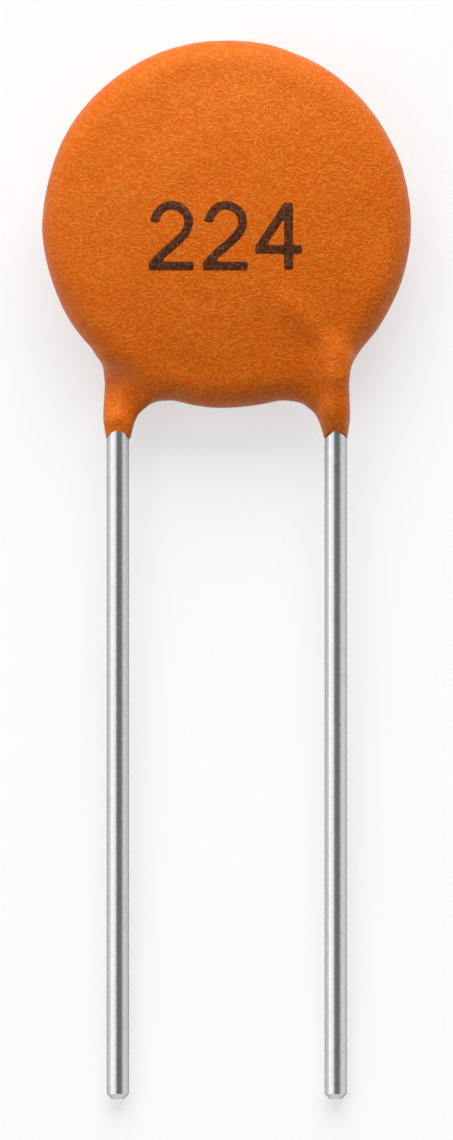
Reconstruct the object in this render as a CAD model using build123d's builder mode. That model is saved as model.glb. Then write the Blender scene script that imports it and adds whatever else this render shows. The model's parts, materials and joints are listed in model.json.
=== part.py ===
"""Ceramic disc capacitor with two radial leads, lying on its back.

The pieces are drawn with the middle of the ceramic at the origin, the face that carries the print
towards +Z, the leads towards -Y and the crown of the disc towards +Y. At the end they are laid on
the table together, on the back of the coating and the two lead tips. Sizes are in millimetres.
"""
from build123d import *
from math import acos, atan2, cos, degrees, hypot, radians, sin, sqrt, tan
import os

os.makedirs("parts", exist_ok=True)

# The ceramic and the silver fired onto its two faces.
ceramic_diameter = 7.2
ceramic_thickness = 0.5
ceramic_edge_break = 0.05
electrode_margin = 0.35
electrode_thickness = 0.02

# The leads: the front one is on the right, the back one is its half turn about the Y axis.
lead_diameter = 0.51
lead_pitch = 5.0
lead_reach = 15.85
lead_bend_radius = 0.5
knee_bend_radius = 0.3
knee_below_ceramic = 0.46
lay_angle = 41.6
lay_length = 2.94
tip_chamfer = 0.12

# The solder that holds each lead to its electrode.
solder_film = 0.02
solder_skin = 0.03
solder_flank_angle = 35
solder_length = 1.45

# The dipped resin: a lens with a round rim, a sleeve that runs down each lead to an arched end,
# and a ridge over each bent lead end.
rim_wall = 0.63
lead_cover = 0.35
rim_radius = 0.75
sleeve_length = 0.72
sleeve_end_wall = 0.025
bead_above_end = 0.5
bead_wall = 0.075
neck_wall = 0.04
knee_wall = 0.07
root_above_knee = 0.95
root_lean = 0.2
root_drop = 0.1
neck_blend = 0.8
ramp_below_edge = 0.32
straight_below_knee = 0.4
arch_radius = 0.29
arch_below_end = 0.09
ridge_before_knee = 0.33
ridge_past_lead = 0.26
ridge_sink = 0.2
ridge_end_depth = 0.36
ridge_proud = 0.08
ridge_blend = 0.5

# Worked out from the sizes above.
lead_radius = lead_diameter / 2
ceramic_radius = ceramic_diameter / 2
electrode_radius = ceramic_radius - electrode_margin
electrode_face = ceramic_thickness / 2 + electrode_thickness
lead_level = electrode_face + solder_film + lead_radius
body_radius = ceramic_radius + rim_wall
half_thickness = lead_level + lead_radius + lead_cover
face_dome_radius = (body_radius**2 + half_thickness**2 - 2 * body_radius * rim_radius) / (
    2 * half_thickness - 2 * rim_radius
)
lead_x = lead_pitch / 2
ramp_bottom = -(body_radius + ramp_below_edge)
knee_y = -(sqrt(ceramic_radius**2 - lead_x**2) + knee_below_ceramic)
ramp_top = knee_y - straight_below_knee
ramp_length = ramp_top - ramp_bottom
sleeve_end = -(body_radius + sleeve_length)
tip_y = -(body_radius + lead_reach)

knee = Vector(lead_x, knee_y, lead_level)
lay_direction = Vector(-sin(radians(lay_angle)), cos(radians(lay_angle)), 0)
lay_end = knee + lay_direction * lay_length


def dome_height(radius):
    """Height of the coated face above the mid-plane at a distance from the disc's axis."""
    return half_thickness - face_dome_radius + sqrt(face_dome_radius**2 - radius**2)


def lead_height(y):
    """Height of the lead's centre line where it passes y on its way up to the electrode."""
    return lead_level * min(max((y - ramp_bottom) / ramp_length, 0), 1)


# Ceramic disc: a plain pressed and fired blank with its edges just broken.
with BuildPart() as ceramic_disc:
    Cylinder(ceramic_radius, ceramic_thickness)
    chamfer(ceramic_disc.edges(), ceramic_edge_break)

# Electrodes: thin silver layers that stop short of the ceramic's edge.
with BuildPart() as front_electrode:
    with BuildSketch(Plane.XY.offset(ceramic_thickness / 2)):
        Circle(electrode_radius)
    extrude(amount=electrode_thickness)

with BuildPart() as back_electrode:
    with BuildSketch(Plane.XY.offset(-ceramic_thickness / 2)):
        Circle(electrode_radius)
    extrude(amount=-electrode_thickness)

# Lead: tinned wire that runs straight up from its cut tip, steps out to the ceramic's face
# inside the sleeve, then turns at the knee and lies slantwise across the electrode.
with BuildPart() as front_lead:
    with BuildLine() as lead_path:
        FilletPolyline(
            (lead_x, tip_y, 0),
            (lead_x, ramp_bottom, 0),
            (lead_x, ramp_top, lead_level),
            knee,
            lay_end,
            radius=[lead_bend_radius, lead_bend_radius, knee_bend_radius],
        )
    with BuildSketch(Plane(origin=(lead_x, tip_y, 0), z_dir=(0, 1, 0))):
        Circle(lead_radius)
    sweep()
    tip_face = front_lead.faces().sort_by(Axis.Y)[0]
    chamfer(tip_face.edges(), tip_chamfer)

# Solder: a mound drawn up around the lead, with flanks that run down to the silver and a round
# end at either end of its run.
solder_height = solder_film + lead_diameter + solder_skin
crown_radius = lead_radius + solder_skin
crown_edge = (
    crown_radius * cos(radians(solder_flank_angle)),
    solder_film + lead_radius + crown_radius * sin(radians(solder_flank_angle)),
)
mound_foot = crown_edge[0] + crown_edge[1] * tan(radians(solder_flank_angle))
mound_start = lay_end - lay_direction * solder_length
mound_plane = Plane(
    origin=(mound_start.X, mound_start.Y, electrode_face),
    x_dir=lay_direction.cross(Vector(0, 0, -1)),
    z_dir=lay_direction,
)


def draw_mound_half():
    """Draws half of the mound's section, closed down its middle and along the silver."""
    TangentArc((0, solder_height), crown_edge, tangent=(1, 0))
    Polyline(crown_edge, (mound_foot, 0), (0, 0), (0, solder_height))


with BuildPart() as front_solder_joint:
    with BuildSketch(mound_plane):
        with BuildLine():
            draw_mound_half()
        make_face()
        mirror(about=Plane.YZ)
    extrude(amount=solder_length)
    for end in (mound_start, lay_end):
        with BuildSketch(Plane(origin=(end.X, end.Y, electrode_face), x_dir=(1, 0, 0), z_dir=(0, -1, 0))):
            with BuildLine():
                draw_mound_half()
            make_face()
        revolve(axis=Axis((end.X, end.Y, 0), (0, 0, 1)))
    add(front_lead.part, mode=Mode.SUBTRACT)

# The back lead and its solder are the front ones turned half round the Y axis.
with BuildPart() as back_lead:
    add(front_lead.part.rotate(Axis.Y, 180))

with BuildPart() as back_solder_joint:
    add(front_solder_joint.part.rotate(Axis.Y, 180))

# Sleeve: the resin round one lead, from its thin end over the bead and the neck to a root that
# leans with the lead inside the body. Each row is a height, the resin's wall and the lead's slope.
ramp_slope = lead_level / ramp_length
sleeve_sections = [
    (sleeve_end, sleeve_end_wall, 0),
    (sleeve_end + bead_above_end, bead_wall, 0),
    ((ramp_bottom + ramp_top) / 2, (bead_wall + neck_wall) / 2, ramp_slope),
    (ramp_top, neck_wall, 0),
    (knee_y, knee_wall, 0),
]
root_centre = (lead_x - root_lean, knee_y + root_above_knee, lead_level - root_drop)
with BuildPart() as sleeve:
    for y, wall, slope in sleeve_sections:
        with BuildSketch(Plane(origin=(lead_x, y, lead_height(y)), x_dir=(1, 0, 0), z_dir=(0, 1, 0))):
            Ellipse(lead_radius + wall, lead_radius * hypot(1, slope) + wall)
    with BuildSketch(Plane(origin=root_centre, x_dir=(1, 0, 0), z_dir=(0, 1, 0))):
        Ellipse(lead_radius + knee_wall, lead_radius)
    loft()

# Ridge: a low spindle over the slanting lead, thickest half way and lost in the face at its end.
ridge_start = knee - lay_direction * ridge_before_knee
ridge_start.Z -= ridge_sink
ridge_stop = lay_end + lay_direction * ridge_past_lead
ridge_stop.Z = dome_height(hypot(ridge_stop.X, ridge_stop.Y)) - ridge_end_depth
ridge_middle = (ridge_start + ridge_stop) * 0.5
ridge_rise = dome_height(hypot(ridge_middle.X, ridge_middle.Y)) + ridge_proud - ridge_middle.Z
ridge_run = ridge_stop - ridge_start
with BuildPart() as ridge:
    with BuildSketch(Plane(origin=ridge_start, x_dir=ridge_run, z_dir=ridge_run.cross(Vector(0, 0, 1)))):
        with BuildLine():
            ThreePointArc((0, 0), (ridge_run.length / 2, ridge_rise), (ridge_run.length, 0))
            Line((ridge_run.length, 0), (0, 0))
        make_face()
    revolve(axis=Axis(ridge_start, ridge_run))

# Coating: the dipped lens with its ridges and sleeves blended in, hollow where it holds the rest.
dome_edge = face_dome_radius * (body_radius - rim_radius) / (face_dome_radius - rim_radius)
with BuildPart() as resin_coating:
    with BuildSketch(Plane.XZ):
        with BuildLine():
            face = TangentArc((0, half_thickness), (dome_edge, dome_height(dome_edge)), tangent=(1, 0))
            TangentArc(face @ 1, (body_radius, 0), tangent=face % 1)
            mirror(about=Plane.XZ)
            Line((0, half_thickness), (0, -half_thickness))
        make_face()
    revolve(axis=Axis.Z)
    for former, blend in ((sleeve, neck_blend), (ridge, ridge_blend)):
        for turn in (0, 180):
            add(former.part.rotate(Axis.Y, turn))
            seam = resin_coating.edges(Select.LAST).filter_by(GeomType.CIRCLE, reverse=True).filter_by(
                lambda edge: edge.bounding_box().min.Y > sleeve_end + bead_above_end / 2
            )
            fillet(seam, blend)
    with Locations((lead_x, sleeve_end - arch_below_end, 0), (-lead_x, sleeve_end - arch_below_end, 0)):
        Cylinder(arch_radius, body_radius, mode=Mode.SUBTRACT)
    for piece in (front_lead, back_lead, front_solder_joint, back_solder_joint):
        add(piece.part, mode=Mode.SUBTRACT)
    for piece in (ceramic_disc, front_electrode, back_electrode):
        add(piece.part, mode=Mode.SUBTRACT)

# On the table the back of the lens and the two tips touch, so everything tilts by a little.
dome_centre_height = face_dome_radius - half_thickness
tip_contact = hypot(dome_centre_height + lead_radius, tip_y + tip_chamfer)
tilt = degrees(
    atan2(-(tip_y + tip_chamfer), dome_centre_height + lead_radius) - acos(face_dome_radius / tip_contact)
)
pieces = {
    "resin_coating": resin_coating,
    "ceramic_disc": ceramic_disc,
    "front_electrode": front_electrode,
    "back_electrode": back_electrode,
    "front_solder_joint": front_solder_joint,
    "back_solder_joint": back_solder_joint,
    "front_lead": front_lead,
    "back_lead": back_lead,
}
tilting = Location((0, 0, 0), (tilt, 0, 0))
outline = Compound([piece.part.moved(tilting) for piece in pieces.values()]).bounding_box()
laying = Location((0, -(outline.min.Y + outline.max.Y) / 2, -outline.min.Z), (tilt, 0, 0))
for name, piece in pieces.items():
    laid = piece.part.moved(laying)
    laid.label = name
    export_step(laid, f"parts/{name}.step")
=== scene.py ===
import json
from math import atan2, cos, hypot, pi, radians, sin, tan

import bpy
from mathutils import Matrix, Vector
from mathutils.bvhtree import BVHTree
from mathutils.geometry import intersect_point_line


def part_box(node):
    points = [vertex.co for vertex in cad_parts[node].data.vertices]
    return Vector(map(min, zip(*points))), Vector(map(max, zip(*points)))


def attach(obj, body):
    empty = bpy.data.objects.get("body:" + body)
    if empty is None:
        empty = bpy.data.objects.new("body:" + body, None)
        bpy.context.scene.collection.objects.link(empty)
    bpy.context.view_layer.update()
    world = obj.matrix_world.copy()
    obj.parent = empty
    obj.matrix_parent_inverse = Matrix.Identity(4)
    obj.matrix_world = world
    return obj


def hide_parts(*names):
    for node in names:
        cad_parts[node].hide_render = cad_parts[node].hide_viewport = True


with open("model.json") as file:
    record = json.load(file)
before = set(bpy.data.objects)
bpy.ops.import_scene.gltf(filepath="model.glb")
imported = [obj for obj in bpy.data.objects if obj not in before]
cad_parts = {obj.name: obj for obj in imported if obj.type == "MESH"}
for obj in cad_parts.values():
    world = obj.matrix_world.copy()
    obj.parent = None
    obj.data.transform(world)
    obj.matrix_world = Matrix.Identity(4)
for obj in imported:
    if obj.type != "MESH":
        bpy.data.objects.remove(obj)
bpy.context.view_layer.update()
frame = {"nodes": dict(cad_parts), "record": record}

scene = bpy.context.scene
MM = 0.001


# Camera, floor and light
# The capacitor lies on its back on a pale table, so the camera looks down on it, square to the
# plane of the two leads, from far off as a catalogue picture is taken. The light comes from above
# the crown of the disc, with a softbox on either side that the bright wires mirror.
ceramic_low, ceramic_high = (Vector(corner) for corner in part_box("ceramic_disc"))
disc_centre = (ceramic_low + ceramic_high) / 2
lead_axis = Vector(frame["record"]["mounts"][0]["axis"])
lie = Matrix.Translation(disc_centre) @ Matrix.Rotation(atan2(-lead_axis.z, -lead_axis.y), 4, "X")

picture_height = 26.16 * MM
picture_centre = Vector((-0.007, -7.941, 0)) * MM
camera_distance = 0.5
camera_data = bpy.data.cameras.new("camera")
camera_data.sensor_width = 36
camera_data.lens = camera_data.sensor_width * camera_distance / picture_height
camera_data.clip_start = 0.05
camera_data.clip_end = 2
camera = bpy.data.objects.new("camera", camera_data)
scene.collection.objects.link(camera)
camera.matrix_world = lie @ Matrix.Translation(picture_centre + Vector((0, 0, camera_distance)))
scene.camera = camera
scene.view_settings.view_transform = "Standard"


def add_node(owner, kind, inputs=None, **settings):
    """Adds a node to a material or the world. Each input gets a value or another node's output."""
    node = owner.node_tree.nodes.new(kind)
    for name, value in settings.items():
        setattr(node, name, value)
    for name, value in (inputs or {}).items():
        if isinstance(value, bpy.types.NodeSocket):
            owner.node_tree.links.new(value, node.inputs[name])
        else:
            node.inputs[name].default_value = value
    return node


def compute(owner, operation, *values):
    """The result of a math node on the values, each a number or another node's output."""
    node = add_node(owner, "ShaderNodeMath", dict(enumerate(values)), operation=operation)
    return node.outputs["Value"]


def spread(owner, value, low, high, to_low, to_high):
    """Maps the value from one range to another."""
    node = add_node(
        owner, "ShaderNodeMapRange",
        {"Value": value, "From Min": low, "From Max": high, "To Min": to_low, "To Max": to_high},
    )
    return node.outputs["Result"]


def ramp(owner, value, stops):
    """Turns a value into a colour by its stops, each a position and a colour."""
    node = add_node(owner, "ShaderNodeValToRGB", {"Fac": value})
    elements = node.color_ramp.elements
    while len(elements) < len(stops):
        elements.new(0.5)
    for element, (position, colour) in zip(elements, stops):
        element.position = position
        element.color = (*colour, 1)
    return node.outputs["Color"]


def seen_directly(owner):
    """1 where it is seen by the camera, in a reflection or through glass, and 0 as light."""
    path = add_node(owner, "ShaderNodeLightPath")
    seen = path.outputs["Is Camera Ray"]
    for ray in ("Is Glossy Ray", "Is Transmission Ray"):
        seen = compute(owner, "MAXIMUM", seen, path.outputs[ray])
    return seen


# A pale paper that is partly plain white where it is seen, and keeps the shadow.
whiteness = 0.62
bpy.ops.mesh.primitive_plane_add(size=1.2, location=(0, 0, 0))
floor = bpy.context.object
floor.name = "floor"
paper = bpy.data.materials.new("floor_paper")
paper.use_nodes = True
paper_shader = paper.node_tree.nodes["Principled BSDF"]
paper_shader.inputs["Base Color"].default_value = (0.93, 0.93, 0.93, 1)
paper_shader.inputs["Roughness"].default_value = 0.9
paper_shader.inputs["Specular IOR Level"].default_value = 0.1
white = add_node(paper, "ShaderNodeEmission")
white_share = compute(paper, "MULTIPLY", seen_directly(paper), whiteness)
whitened = add_node(
    paper, "ShaderNodeMixShader",
    {0: white_share, 1: paper_shader.outputs["BSDF"], 2: white.outputs["Emission"]},
)
paper.node_tree.links.new(
    whitened.outputs["Shader"], paper.node_tree.nodes["Material Output"].inputs["Surface"]
)
floor.data.materials.append(paper)

# A grey room, with a pale wall at the height of the horizon that is seen but gives no light.
world = bpy.data.worlds.new("studio")
world.use_nodes = True
around = add_node(world, "ShaderNodeTexCoord")
upward = add_node(world, "ShaderNodeSeparateXYZ", {"Vector": around.outputs["Generated"]})
wall = spread(world, upward.outputs["Z"], 0.35, 0.55, 1.0, 0.0)
room_colour = ramp(world, compute(world, "MULTIPLY", wall, seen_directly(world)), [
    (0.0, (0.18, 0.18, 0.18)),
    (1.0, (0.94, 0.94, 0.94)),
])
world.node_tree.links.new(room_colour, world.node_tree.nodes["Background"].inputs["Color"])
scene.world = world

lamp_distance = 0.6


def soft_box(name, towards, width, height, power):
    """Adds a rectangular lamp that stands in the given direction from the disc and faces it."""
    lamp = bpy.data.lights.new(name, "AREA")
    lamp.shape = "RECTANGLE"
    lamp.size = width
    lamp.size_y = height
    lamp.energy = power
    stand = bpy.data.objects.new(name, lamp)
    scene.collection.objects.link(stand)
    towards = Vector(towards).normalized()
    stand.location = towards * lamp_distance
    stand.rotation_euler = towards.to_track_quat("Z", "Y").to_euler()


soft_box("top_light", towards=(0.0, 0.82, 0.57), width=0.7, height=0.45, power=5.2)
soft_box("left_light", towards=(-0.72, 0.0, 0.69), width=0.45, height=0.62, power=1.10)
soft_box("right_light", towards=(0.84, 0.0, 0.54), width=0.34, height=0.34, power=0.17)


# Resin coating
# The body is dipped several times in a thick orange resin that runs a little way down each wire
# and cures satin, with a fine leathery skin. It is one piece, and thins out to an arched edge
# where each wire leaves it.
wire_x = 2.5
wire_radius = 0.255
lead_level = 0.545
step_foot = -4.55
step_top = -3.45
knee_y = -3.05
arch_centre = -5.04
arch_radius = 0.29

# Pieces are modelled in millimetres about the middle of the disc, and then laid on the table.
laid = lie @ Matrix.Scale(MM, 4)


def deselect_all():
    """Leaves nothing selected."""
    for thing in bpy.context.selected_objects:
        thing.select_set(False)


def make_active(piece):
    """Selects only this piece."""
    deselect_all()
    bpy.context.view_layer.objects.active = piece
    piece.select_set(True)


def apply_modifiers(piece):
    """Applies the piece's modifiers in order."""
    make_active(piece)
    for modifier in list(piece.modifiers):
        bpy.ops.object.modifier_apply(modifier=modifier.name)


def join_pieces(name, pieces):
    """Joins the pieces into the first and names it."""
    make_active(pieces[0])
    for piece in pieces:
        piece.select_set(True)
    bpy.ops.object.join()
    pieces[0].name = name
    return pieces[0]


def merge_vertices(piece, reach):
    """Merges the piece's vertices that lie closer than the reach."""
    make_active(piece)
    bpy.ops.object.mode_set(mode="EDIT")
    bpy.ops.mesh.select_all(action="SELECT")
    bpy.ops.mesh.remove_doubles(threshold=reach)
    bpy.ops.object.mode_set(mode="OBJECT")


def even_skin(piece, size):
    """Gives the piece one closed skin of even faces of the given size."""
    skin = piece.modifiers.new("skin", "REMESH")
    skin.mode = "VOXEL"
    skin.voxel_size = size


def soften(piece, rounds, group=""):
    """Smooths the piece by a number of rounds, all over or where a vertex group says."""
    smoothing = piece.modifiers.new(group or "soften", "SMOOTH")
    smoothing.vertex_group = group
    smoothing.factor = 0.5
    smoothing.iterations = rounds


def cloud_relief(piece, name, size, depth):
    """Moves the piece's surface in and out by a soft noise of the given size, in millimetres."""
    clouds = bpy.data.textures.new(name, "CLOUDS")
    clouds.noise_scale = size
    clouds.noise_depth = 1
    relief = piece.modifiers.new(name, "DISPLACE")
    relief.texture = clouds
    relief.texture_coords = "LOCAL"
    relief.mid_level = 0.5
    relief.strength = depth


def rise(value, start, full):
    """Rises smoothly from 0 at the start to 1 where it is full, and stays there."""
    share = min(max((value - start) / (full - start), 0), 1)
    return share * share * (3 - 2 * share)


def weigh(piece, name, weight_at):
    """Adds a vertex group with the weight that a function gives at the place of each vertex."""
    group = piece.vertex_groups.new(name=name)
    for vertex in piece.data.vertices:
        weight = weight_at(*vertex.co)
        if weight > 0:
            group.add([vertex.index], weight, "REPLACE")


# The CAD coating, with the wires' holes plugged and its faces made even.
plug_radius = 0.262
plug_top = -4.5
plug_length = 0.6
dipped_resin = bpy.data.objects.new("dipped_resin", frame["nodes"]["resin_coating"].data.copy())
scene.collection.objects.link(dipped_resin)
dipped_resin.data.transform(laid.inverted())
merge_vertices(dipped_resin, reach=0.0001)
plugs = []
for side in (-1, 1):
    bpy.ops.mesh.primitive_cylinder_add(
        vertices=48, radius=plug_radius, depth=plug_length,
        location=(side * wire_x, plug_top - plug_length / 2, 0), rotation=(pi / 2, 0, 0),
    )
    plugs.append(bpy.context.object)
join_pieces("dipped_resin", [dipped_resin] + plugs)
even_skin(dipped_resin, size=0.05)
soften(dipped_resin, rounds=8)
apply_modifiers(dipped_resin)

# The resin hangs in a web beside each sleeve, swells into a bead on the side that the wire steps
# away from, and is thinner round the rim. The back is the front turned half round, so a front
# bead is on the right and a back one on the left.
web_drop = 0.27
bead_swell = 0.22
rim_thinning = 0.09
for vertex in dipped_resin.data.vertices:
    x, y, z = vertex.co
    out = abs(x)
    front = 1 if x > 0 else -1
    web = rise(out, 1.1, 1.95) * rise(out, 2.4, 1.9) * rise(y, -3.2, -3.85)
    bead = rise(y, -3.55, -4.45) * rise(y, -4.98, -4.60) * rise(out, 2.0, 2.3)
    bead *= rise(z * front, 0, 0.3)
    rim = rise(hypot(x, y), 1.8, 3.7) * rise(y, -1.6, 0)
    vertex.co.y = y - web_drop * web
    vertex.co.z = z * (1 - rim_thinning * rim) + bead_swell * bead * front

# Wet resin has no creases: it is softened along the ridges, at the shoulders above the sleeves,
# in the webs and round the rim. Then its skin gets slow runs and small dimples.
ridge_start = Vector((2.25, -2.75))
ridge_end = Vector((0.75, -1.05))
ridge_along = (ridge_end - ridge_start).normalized()
ridge_length = (ridge_end - ridge_start).length
shoulder_place = (2.96, -3.04)
rim_radius = 3.5


def near_ridge(x, y, z):
    """1 along the line of the ridge on either face, and 0 away from it."""
    side = 1 if z > 0 else -1
    from_start = Vector((x * side, y)) - ridge_start
    along = min(max(from_start.dot(ridge_along), 0), ridge_length)
    return rise((from_start - ridge_along * along).length, 1.3, 0.8)


def near_shoulder(x, y, z):
    """1 at the outer shoulder above either sleeve, and 0 away from it."""
    return rise(hypot(abs(x) - shoulder_place[0], y - shoulder_place[1]), 0.8, 0.35)


def near_web(x, y, z):
    """1 from the webs downwards, and 0 above them."""
    return rise(y, -3.5, -3.8)


def near_rim(x, y, z):
    """1 round the rim, and 0 away from it and down at the sleeves."""
    return rise(abs(hypot(x, y) - rim_radius), 0.55, 0.25) * rise(y, -2.2, -1.4)


for group, weight_at, rounds in (
    ("ridges", near_ridge, 44),
    ("shoulders", near_shoulder, 100),
    ("webs", near_web, 20),
    ("rims", near_rim, 60),
):
    weigh(dipped_resin, group, weight_at)
    soften(dipped_resin, rounds, group)
cloud_relief(dipped_resin, "runs", size=1.4, depth=0.05)
cloud_relief(dipped_resin, "dimples", size=0.45, depth=0.012)
apply_modifiers(dipped_resin)

# It fills the outer shoulder above each sleeve and the crotch between sleeve and web, and makes
# the end of each sleeve a little wider.
shoulder_fill = 0.08
bead_width = 0.015
crotch_fill = 0.085
crotch_inward = 0.75
crotch_downward = 0.6
crotch_place = (2.06, -4.33)
for vertex in dipped_resin.data.vertices:
    x, y, z = vertex.co
    side = 1 if x > 0 else -1
    shoulder = shoulder_fill * rise(y, -3.55, -3.17) * rise(y, -2.8, -3.14)
    bead = bead_width * rise(y, -3.95, -4.25)
    outward = rise(abs(x), wire_x, wire_x + 0.2) * (shoulder + bead)
    crotch = crotch_fill * rise(hypot(abs(x) - crotch_place[0], y - crotch_place[1]), 0.68, 0.06)
    vertex.co.x = x + side * (outward - crotch_inward * crotch)
    vertex.co.y = y - crotch_downward * crotch

# Nowhere may it be thinner over a wire than the least cover. What lies closer to the wire's
# centre line is moved out, and what lies just beyond is eased out with it.
least_cover = wire_radius + 0.035
cover_blend = 0.12
cover_end = -4.75
cover_taper = 0.45
covered_wire = [
    Vector((wire_x, -4.9, 0)),
    Vector((wire_x, step_foot, 0)),
    Vector((wire_x, step_top, lead_level)),
    Vector((wire_x, knee_y, lead_level)),
    Vector((0.55, -0.85, lead_level)),
]
knee_place = (2.35, -2.9)


def clear_of_wire(spot):
    """The spot, moved away from the front wire if it is too close."""
    held = rise(spot.y, cover_end, cover_end + cover_taper)
    for start, stop in zip(covered_wire, covered_wire[1:]):
        share = intersect_point_line(spot, start, stop)[1]
        nearest = start.lerp(stop, min(max(share, 0), 1))
        away = (spot - nearest).length
        near = max(cover_blend - abs(away - least_cover), 0) / cover_blend
        clear = max(away, least_cover) + near * near * cover_blend / 4
        spot = nearest + (spot - nearest).normalized() * (away + (clear - away) * held)
    return spot


for vertex in dipped_resin.data.vertices:
    for turn in (1, -1):
        spot = Vector((vertex.co.x * turn, vertex.co.y, vertex.co.z * turn))
        if spot.y > cover_end:
            spot = clear_of_wire(spot)
            vertex.co = (spot.x * turn, spot.y, spot.z * turn)


def near_knee(x, y, z):
    """1 where the wire below the skin turns at its knee, and 0 away from it."""
    side = 1 if z > 0 else -1
    return rise(hypot(x * side - knee_place[0], y - knee_place[1]), 0.9, 0.3)


weigh(dipped_resin, "knees", near_knee)
soften(dipped_resin, rounds=8)
soften(dipped_resin, rounds=30, group="knees")
apply_modifiers(dipped_resin)

# The end of each sleeve is drawn up into an arch.
arches = []
for side in (-1, 1):
    bpy.ops.mesh.primitive_cylinder_add(
        vertices=96, radius=arch_radius, depth=3, location=(side * wire_x, arch_centre, 0)
    )
    arches.append(bpy.context.object)
arch_cutter = join_pieces("arch_cutter", arches)
cut = dipped_resin.modifiers.new("arches", "BOOLEAN")
cut.operation = "DIFFERENCE"
cut.object = arch_cutter
cut.solver = "EXACT"
apply_modifiers(dipped_resin)
bpy.data.objects.remove(arch_cutter)
merge_vertices(dipped_resin, reach=0.001)
bpy.ops.object.shade_smooth_by_angle(angle=radians(40))
dipped_resin.data.transform(laid)


def start_material(name, **plain):
    """Starts a material: its shader with the plain values set, and its place in millimetres."""
    material = bpy.data.materials.new(name)
    material.use_nodes = True
    shader = material.node_tree.nodes["Principled BSDF"]
    for socket, value in plain.items():
        shader.inputs[socket.replace("_", " ")].default_value = value
    place = add_node(material, "ShaderNodeTexCoord")
    in_mm = add_node(
        material, "ShaderNodeMapping",
        {"Vector": place.outputs["Object"], "Scale": (1 / MM, 1 / MM, 1 / MM)},
    )
    return material, shader, in_mm.outputs["Vector"]


def noise(material, place, size, detail=2.0, roughness=0.5, distortion=0.0):
    """A soft noise whose patches are about the given size, in millimetres."""
    node = add_node(
        material, "ShaderNodeTexNoise",
        {"Vector": place, "Scale": 1 / size, "Detail": detail, "Roughness": roughness,
         "Distortion": distortion},
    )
    return node.outputs["Fac"]


def sum_of(material, first, second, weight):
    """The first value plus the second times its weight."""
    return compute(material, "MULTIPLY_ADD", second, weight, first)


def worm_lines(material, place, size):
    """Thin raised strands that wander like the creases of fine leather."""
    wander = noise(material, place, size, detail=1.0, distortion=0.6)
    folded = compute(material, "ABSOLUTE", compute(material, "SUBTRACT", wander, 0.5))
    return spread(material, folded, 0.0, 0.12, 1.0, 0.0)


def finish_material(material, shader, colour, roughness, height, depth):
    """Connects colour, roughness and a relief of the given depth in metres to the shader."""
    link = material.node_tree.links.new
    link(colour, shader.inputs["Base Color"])
    link(roughness, shader.inputs["Roughness"])
    relief = {"Height": height, "Distance": depth, "Strength": 1.0}
    bump = add_node(material, "ShaderNodeBump", relief)
    link(bump.outputs["Normal"], shader.inputs["Normal"])


resin, resin_shader, resin_place = start_material(
    "orange_resin", Specular_IOR_Level=0.30, Specular_Tint=(0.75, 1.0, 0.35, 1)
)
strands = worm_lines(resin, resin_place, 0.105)
grain = noise(resin, resin_place, 0.058)
leather = sum_of(resin, grain, strands, 0.6)
patches = noise(resin, resin_place, 1.1)
# The colour turns lighter and yellower where the grain and strands rise. Part of this is the
# resin's own grain and patchy tone, and part is painted glints of light on the raised strands.
resin_tone_with_painted_glints = spread(resin, sum_of(resin, leather, patches, 0.25), 0.55, 1.30, 0.0, 1.0)
resin_colour_with_painted_glints = ramp(resin, resin_tone_with_painted_glints, [
    (0.00, (0.650, 0.095, 0.001)),
    (0.45, (0.690, 0.120, 0.003)),
    (1.00, (0.715, 0.186, 0.018)),
])
resin_gloss = spread(resin, grain, 0.3, 0.7, 0.36, 0.50)
finish_material(resin, resin_shader, resin_colour_with_painted_glints, resin_gloss, leather, 0.000012)
dipped_resin.data.materials.clear()
dipped_resin.data.materials.append(resin)
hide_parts("resin_coating")
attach(dipped_resin, "root")


# Printed value
# The value 224 is stamped on the front of the cured resin in dark brown ink. The ink is a film
# about a hundredth of a millimetre thick that follows the skin below it, so it is mottled and its
# edges are uneven.
ink_width = 0.216
ink_flattening = 0.085
digit_step = 1.237
first_two = -1.685
foot_y = -0.979
stem_x = 1.41573
bar_y = -0.599


def start_stroke(kind, count):
    """Starts a stroke of a round pen with a number of points."""
    curve = bpy.data.curves.new("stroke", "CURVE")
    curve.dimensions = "3D"
    curve.bevel_depth = ink_width / 2
    curve.bevel_resolution = 5
    curve.resolution_u = 16
    curve.use_fill_caps = True
    line = curve.splines.new(kind)
    points = line.bezier_points if kind == "BEZIER" else line.points
    points.add(count - 1)
    return curve, points


def finish_stroke(curve):
    """Makes a drawn stroke a mesh."""
    stroke = bpy.data.objects.new("stroke", curve)
    scene.collection.objects.link(stroke)
    make_active(stroke)
    bpy.ops.object.convert(target="MESH")
    return bpy.context.object


def pen_line(*places):
    """Draws a straight stroke through the places."""
    curve, points = start_stroke("POLY", len(places))
    for point, (x, y) in zip(points, places):
        point.co = (x, y, 0, 1)
    return finish_stroke(curve)


def pen_curve(*places):
    """Draws a curved stroke through the places; each has its heading and its handles' length."""
    curve, points = start_stroke("BEZIER", len(places))
    for point, (x, y, heading, reach) in zip(points, places):
        handle = Vector((cos(radians(heading)), sin(radians(heading)), 0)) * reach
        point.co = (x, y, 0)
        point.handle_left = point.co - handle
        point.handle_right = point.co + handle
    return finish_stroke(curve)


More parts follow.
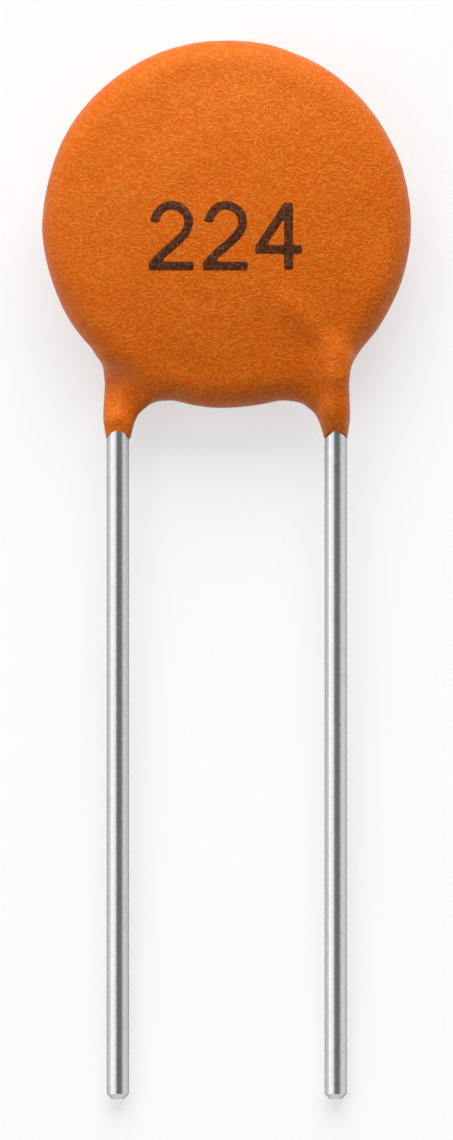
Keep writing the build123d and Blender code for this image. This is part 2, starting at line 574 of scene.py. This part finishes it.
strokes = []
for left in (first_two, first_two + digit_step):
    strokes.append(pen_curve(
        (left + 0.030, 0.020, 82, 0.22),
        (left + 0.420, 0.412, 0, 0.205),
        (left + 0.812, 0.040, -90, 0.20),
        (left + 0.528, -0.431, -137, 0.22),
        (left - 0.010, -0.985, -112, 0.22),
    ))
    strokes.append(pen_line((left - 0.104, foot_y), (left + 0.924, foot_y)))
strokes.append(pen_line((stem_x, -1.068), (stem_x, 0.470)))
strokes.append(pen_line((stem_x - 0.015, 0.430), (0.742, -0.575)))
strokes.append(pen_line((0.650, bar_y), (1.724, bar_y)))
ink_224 = join_pieces("ink_224", strokes)
even_skin(ink_224, size=0.018)
soften(ink_224, rounds=26)
cloud_relief(ink_224, "ragged", size=0.05, depth=0.018)
apply_modifiers(ink_224)

# The strokes are pressed flat onto the resin straight below them.
off_table = laid.inverted()
resin_skin = BVHTree.FromPolygons(
    [off_table @ vertex.co for vertex in dipped_resin.data.vertices],
    [tuple(face.vertices) for face in dipped_resin.data.polygons],
)
for vertex in ink_224.data.vertices:
    below = resin_skin.ray_cast(Vector((vertex.co.x, vertex.co.y, 3)), Vector((0, 0, -1)))[0]
    vertex.co.z = below.z + vertex.co.z * ink_flattening
make_active(ink_224)
bpy.ops.object.shade_smooth()
ink_224.data.transform(laid)

ink, ink_shader, ink_place = start_material("brown_ink", Specular_IOR_Level=0.22)
ink_blotches = noise(ink, ink_place, 0.075, detail=3.0, roughness=0.6, distortion=0.4)
ink_leather = sum_of(ink, worm_lines(ink, ink_place, 0.17), noise(ink, ink_place, 0.07), 0.9)
ink_colour = ramp(ink, ink_blotches, [
    (0.36, (0.034, 0.008, 0.002)),
    (0.50, (0.080, 0.020, 0.004)),
    (0.66, (0.180, 0.052, 0.010)),
])
ink_gloss = spread(ink, ink_blotches, 0.3, 0.7, 0.40, 0.60)
finish_material(ink, ink_shader, ink_colour, ink_gloss, ink_leather, 0.000006)
ink_224.data.materials.clear()
ink_224.data.materials.append(ink)
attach(ink_224, "root")


# Leads
# Two straight tinned wires, cut with a bevelled tip. Inside the sleeve each wire steps up to the
# ceramic's face, turns at the knee and lies slantwise on the silver. The back wire is the front
# one turned half round.
tip_y = -20.08
tip_bevel = 0.12
step_radius = 0.5
knee_radius = 0.3
lay_end = Vector((0.548, -0.852, lead_level))
wire_sides = 64
straight_parts = 12
bend_parts = 10

step_angle = atan2(lead_level, step_top - step_foot)
step_tangent = step_radius * tan(step_angle / 2)
knee_angle = atan2(wire_x - lay_end.x, lay_end.y - knee_y)
knee_tangent = knee_radius * tan(knee_angle / 2)
step_run = hypot(lead_level, step_top - step_foot) - 2 * step_tangent
lay_run = hypot(wire_x - lay_end.x, lay_end.y - knee_y) - knee_tangent
straight_run = step_foot - step_tangent - tip_y - tip_bevel
tip_growth = wire_radius / (wire_radius - tip_bevel)


def draw_out(x, y, z):
    """Extrudes the open end of the wire by the given step."""
    bpy.ops.mesh.extrude_region_move(TRANSFORM_OT_translate={"value": (x, y, z)})


def bend(angle, centre, axis):
    """Bends the open end of the wire round the centre."""
    bpy.ops.mesh.spin(steps=bend_parts, angle=angle, center=centre, axis=axis)


deselect_all()
bpy.ops.mesh.primitive_circle_add(
    vertices=wire_sides, radius=wire_radius - tip_bevel, location=(wire_x, tip_y, 0),
    rotation=(pi / 2, 0, 0),
)
front_wire = bpy.context.object
front_wire.name = "front_wire"
bpy.ops.object.transform_apply(location=True, rotation=True, scale=True)
bpy.ops.object.mode_set(mode="EDIT")
bpy.ops.mesh.select_all(action="SELECT")
draw_out(0, tip_bevel, 0)
bpy.ops.transform.resize(
    value=(tip_growth, tip_growth, tip_growth), center_override=(wire_x, tip_y + tip_bevel, 0)
)
for part in range(straight_parts):
    draw_out(0, straight_run / straight_parts, 0)
bend(-step_angle, (wire_x, step_foot - step_tangent, step_radius), (1, 0, 0))
draw_out(0, step_run * cos(step_angle), step_run * sin(step_angle))
bend(step_angle, (wire_x, step_top + step_tangent, lead_level - step_radius), (1, 0, 0))
draw_out(0, knee_y - knee_tangent - step_top - step_tangent, 0)
bend(-knee_angle, (wire_x - knee_radius, knee_y - knee_tangent, lead_level), (0, 0, 1))
draw_out(-lay_run * sin(knee_angle), lay_run * cos(knee_angle), 0)
bpy.ops.mesh.select_all(action="SELECT")
bpy.ops.mesh.region_to_loop()
bpy.ops.mesh.edge_face_add()
bpy.ops.mesh.select_all(action="SELECT")
bpy.ops.mesh.normals_make_consistent(inside=False)
bpy.ops.object.mode_set(mode="OBJECT")
bpy.ops.object.shade_smooth_by_angle(angle=radians(25))
back_wire = front_wire.copy()
back_wire.data = front_wire.data.copy()
back_wire.name = "back_wire"
scene.collection.objects.link(back_wire)
back_wire.data.transform(Matrix.Rotation(pi, 4, "Y"))

# The tin's edge tint is set dark, so each wire mirrors darker towards its sides than bare tin
# would: a painted dark reflection along the edges.
tinned, tinned_shader, tinned_place = start_material(
    "tinned_wire_with_painted_dark_edges", Metallic=1.0, Specular_Tint=(0.28, 0.28, 0.30, 1)
)
drawn_place = add_node(tinned, "ShaderNodeMapping", {"Vector": tinned_place, "Scale": (1, 0.08, 1)})
drawing_marks = noise(tinned, drawn_place.outputs["Vector"], 0.05, detail=3.0, roughness=0.6)
tin_pits = noise(tinned, tinned_place, 0.12, detail=4.0, roughness=0.65)
tin_relief = sum_of(tinned, tin_pits, drawing_marks, 0.5)
tin_colour = ramp(tinned, tin_pits, [
    (0.30, (0.57, 0.57, 0.58)),
    (0.50, (0.62, 0.62, 0.63)),
    (0.70, (0.66, 0.66, 0.66)),
])
tin_gloss = spread(tinned, tin_relief, 0.5, 1.0, 0.26, 0.30)
finish_material(tinned, tinned_shader, tin_colour, tin_gloss, tin_relief, 0.0000003)
for wire, node_name in ((front_wire, "front_lead"), (back_wire, "back_lead")):
    wire.data.transform(laid)
    wire.data.materials.clear()
    wire.data.materials.append(tinned)
    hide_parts(node_name)
    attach(wire, "root")


# Ceramic disc, silver and solder
# Inside the resin a fired ceramic blank carries a silver film on each face, and each wire is
# soldered to its film. They are out of sight in the finished part and seen only when it is opened.
ceramic, ceramic_shader, ceramic_place = start_material("fired_ceramic", Specular_IOR_Level=0.45)
ceramic_specks = noise(ceramic, ceramic_place, 0.08, detail=3.0, roughness=0.7)
ceramic_colour = ramp(ceramic, ceramic_specks, [
    (0.30, (0.42, 0.30, 0.19)),
    (0.55, (0.62, 0.50, 0.36)),
    (0.75, (0.70, 0.60, 0.46)),
])
ceramic_gloss = spread(ceramic, ceramic_specks, 0.3, 0.7, 0.55, 0.75)
finish_material(ceramic, ceramic_shader, ceramic_colour, ceramic_gloss, ceramic_specks, 0.000003)

silver, silver_shader, silver_place = start_material("fired_silver", Metallic=1.0)
brush_place = add_node(silver, "ShaderNodeMapping", {"Vector": silver_place, "Scale": (1, 0.2, 1)})
silver_brush = noise(silver, brush_place.outputs["Vector"], 0.12, detail=4.0, roughness=0.6)
silver_colour = ramp(silver, silver_brush, [
    (0.30, (0.62, 0.60, 0.56)),
    (0.70, (0.80, 0.79, 0.76)),
])
silver_gloss = spread(silver, silver_brush, 0.3, 0.7, 0.48, 0.66)
finish_material(silver, silver_shader, silver_colour, silver_gloss, silver_brush, 0.000002)

solder, solder_shader, solder_place = start_material("soft_solder", Metallic=1.0)
solder_crystals = noise(solder, solder_place, 0.18, detail=4.0, roughness=0.55, distortion=0.8)
solder_colour = ramp(solder, solder_crystals, [
    (0.30, (0.44, 0.44, 0.46)),
    (0.70, (0.66, 0.66, 0.67)),
])
solder_gloss = spread(solder, solder_crystals, 0.3, 0.7, 0.22, 0.40)
finish_material(solder, solder_shader, solder_colour, solder_gloss, solder_crystals, 0.000003)

inner_finishes = {
    "ceramic_disc": ceramic,
    "front_electrode": silver,
    "back_electrode": silver,
    "front_solder_joint": solder,
    "back_solder_joint": solder,
}
for node_name, finish in inner_finishes.items():
    for material_slot in frame["nodes"][node_name].material_slots:
        material_slot.material = finish
